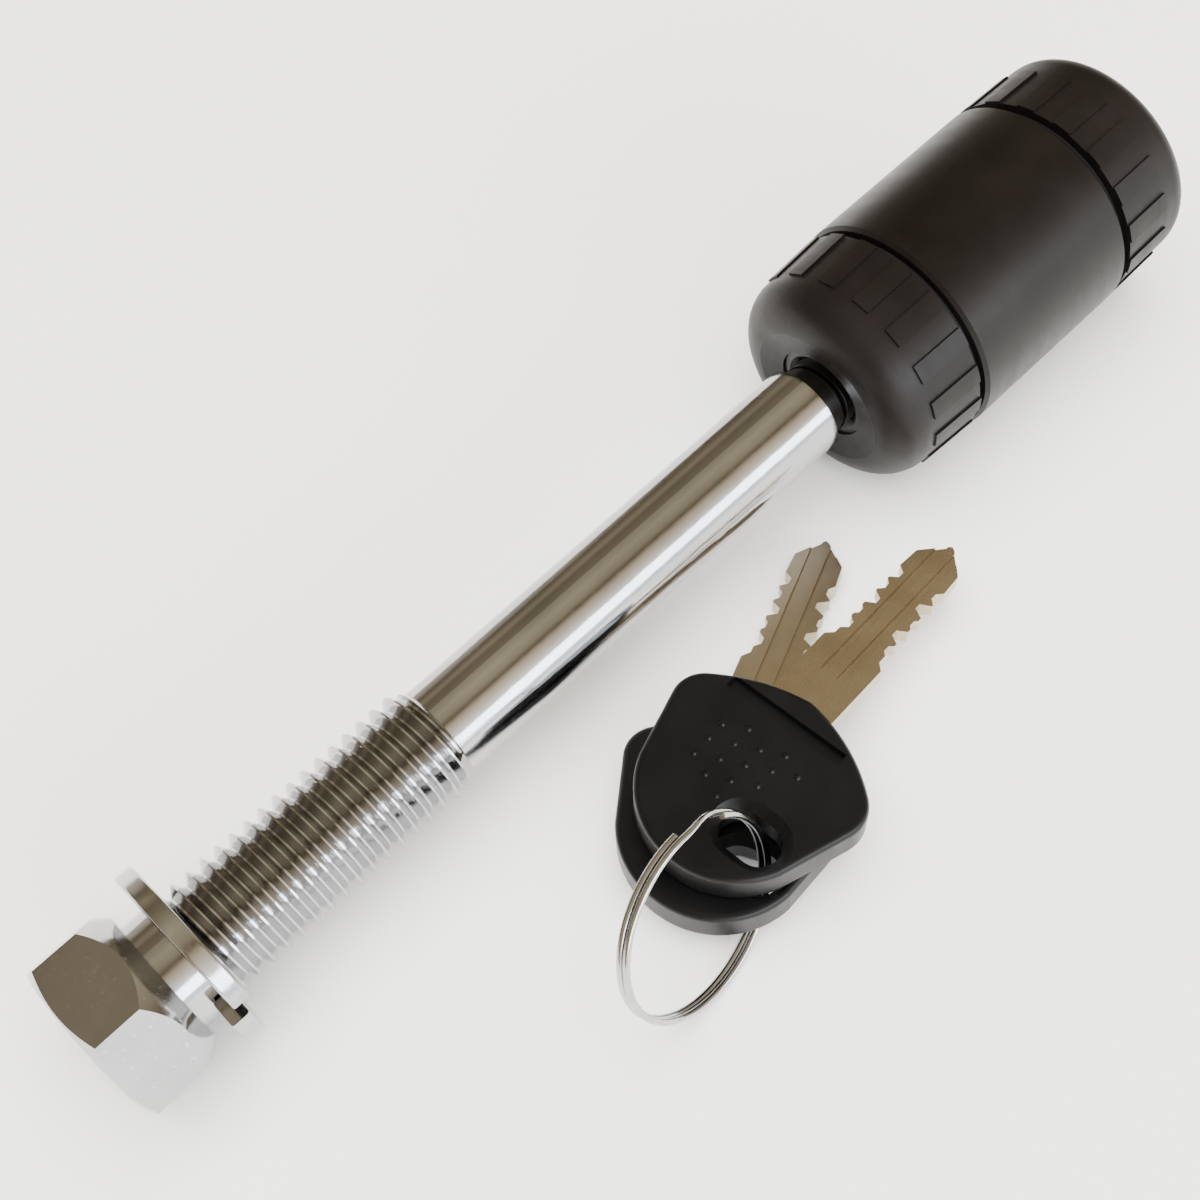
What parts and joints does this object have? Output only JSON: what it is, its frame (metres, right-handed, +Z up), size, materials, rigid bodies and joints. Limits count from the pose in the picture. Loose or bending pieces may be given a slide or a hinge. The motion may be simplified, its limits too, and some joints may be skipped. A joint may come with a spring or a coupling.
{
  "type": "hitch pin lock",
  "caption": "Hex-headed threaded hitch pin with a split lock washer, a keyed cylindrical lock head in rubber end caps, and a split ring with keys.",
  "frame": {"origin": "centre of the bearing face under the hex head, on the pin's axis", "axes": "+X along the pin from the hex head to the lock head, +Z up, the keys lie on the -Y side"},
  "size_m": [0.187, 0.0637, 0.0342],
  "materials": {
    "chrome_pin": "polished",
    "black_rubber": "satin",
    "black_satin": "satin",
    "seal_rubber": "matte",
    "housing_steel": "machined",
    "bush_brass": "machined",
    "spring_steel": "drawn wire",
    "cylinder_zinc": "cast",
    "cylinder_brass": "machined",
    "key_plastic": "satin",
    "key_metal": "nickel plated",
    "ring_chrome": "polished"
  },
  "bodies": {
    "pin": {"hitch_pin": "chrome_pin"},
    "washer": {"lock_washer": "chrome_pin"},
    "lock_head": {"front_boot": "black_rubber", "body_sleeve": "black_satin", "shank_seal": "seal_rubber", "front_gasket": "seal_rubber", "rear_gasket": "seal_rubber", "lock_housing": "housing_steel", "guide_bush": "bush_brass", "latch_springs": "spring_steel", "cylinder_shell": "cylinder_zinc", "shell_pin": "spring_steel"},
    "dust_cap": {"rear_cap": "black_rubber"},
    "plug": {"lock_plug": "cylinder_brass", "drive_cam": "housing_steel", "cam_screw": "spring_steel", "wafer_springs": "spring_steel"},
    "wafer_set": {"wafers": "cylinder_brass"},
    "latch": {"latch_slide": "housing_steel"},
    "key_ring": {"split_ring": "ring_chrome"},
    "front_key": {"front_key_head": "key_plastic", "front_key_blade": "key_metal"},
    "rear_key": {"rear_key_head": "key_plastic", "rear_key_blade": "key_metal"}
  },
  "joints": [
    {"name": "washer_slide", "type": "slide", "parent": "pin", "child": "washer", "axis": [1, 0, 0], "range_m": [-0.0021, 0.1]},
    {"name": "lock_slide", "type": "slide", "parent": "pin", "child": "lock_head", "axis": [1, 0, 0], "range_m": [0, 0.08]},
    {"name": "cap_pull", "type": "slide", "parent": "lock_head", "child": "dust_cap", "axis": [1, 0, 0], "range_m": [0, 0.02]},
    {"name": "plug_turn", "type": "hinge", "parent": "lock_head", "child": "plug", "pos_m": [0.155, 0, 0], "axis": [1, 0, 0], "range_deg": [-90, 0]},
    {"name": "latch_slide_z", "type": "slide", "parent": "lock_head", "child": "latch", "axis": [0, 0, 1], "range_m": [-0.0017, 0], "deforming": ["latch_springs"]},
    {"name": "wafer_throw", "type": "slide", "parent": "plug", "child": "wafer_set", "axis": [0, 0, 1], "range_m": [0, 0.0006], "deforming": ["wafer_springs"]},
    {"name": "ring_lift", "type": "slide", "parent": "pin", "child": "key_ring", "axis": [0, -0.5, 0.866], "range_m": [0, 0.06]},
    {"name": "front_key_swing", "type": "hinge", "parent": "key_ring", "child": "front_key", "pos_m": [0.06328, -0.03894, -0.00378], "axis": [0.1119, 0.0063, 0.9937], "range_deg": [-6, 10]},
    {"name": "rear_key_swing", "type": "hinge", "parent": "key_ring", "child": "rear_key", "pos_m": [0.06105, -0.04121, -0.00906], "axis": [0.1054, 0.0319, 0.9939], "range_deg": [-2, 2]}
  ],
  "couplings": [
    {"joint": "latch_slide_z", "follows": "plug_turn", "m_per_rad": 0.0010822}
  ]
}
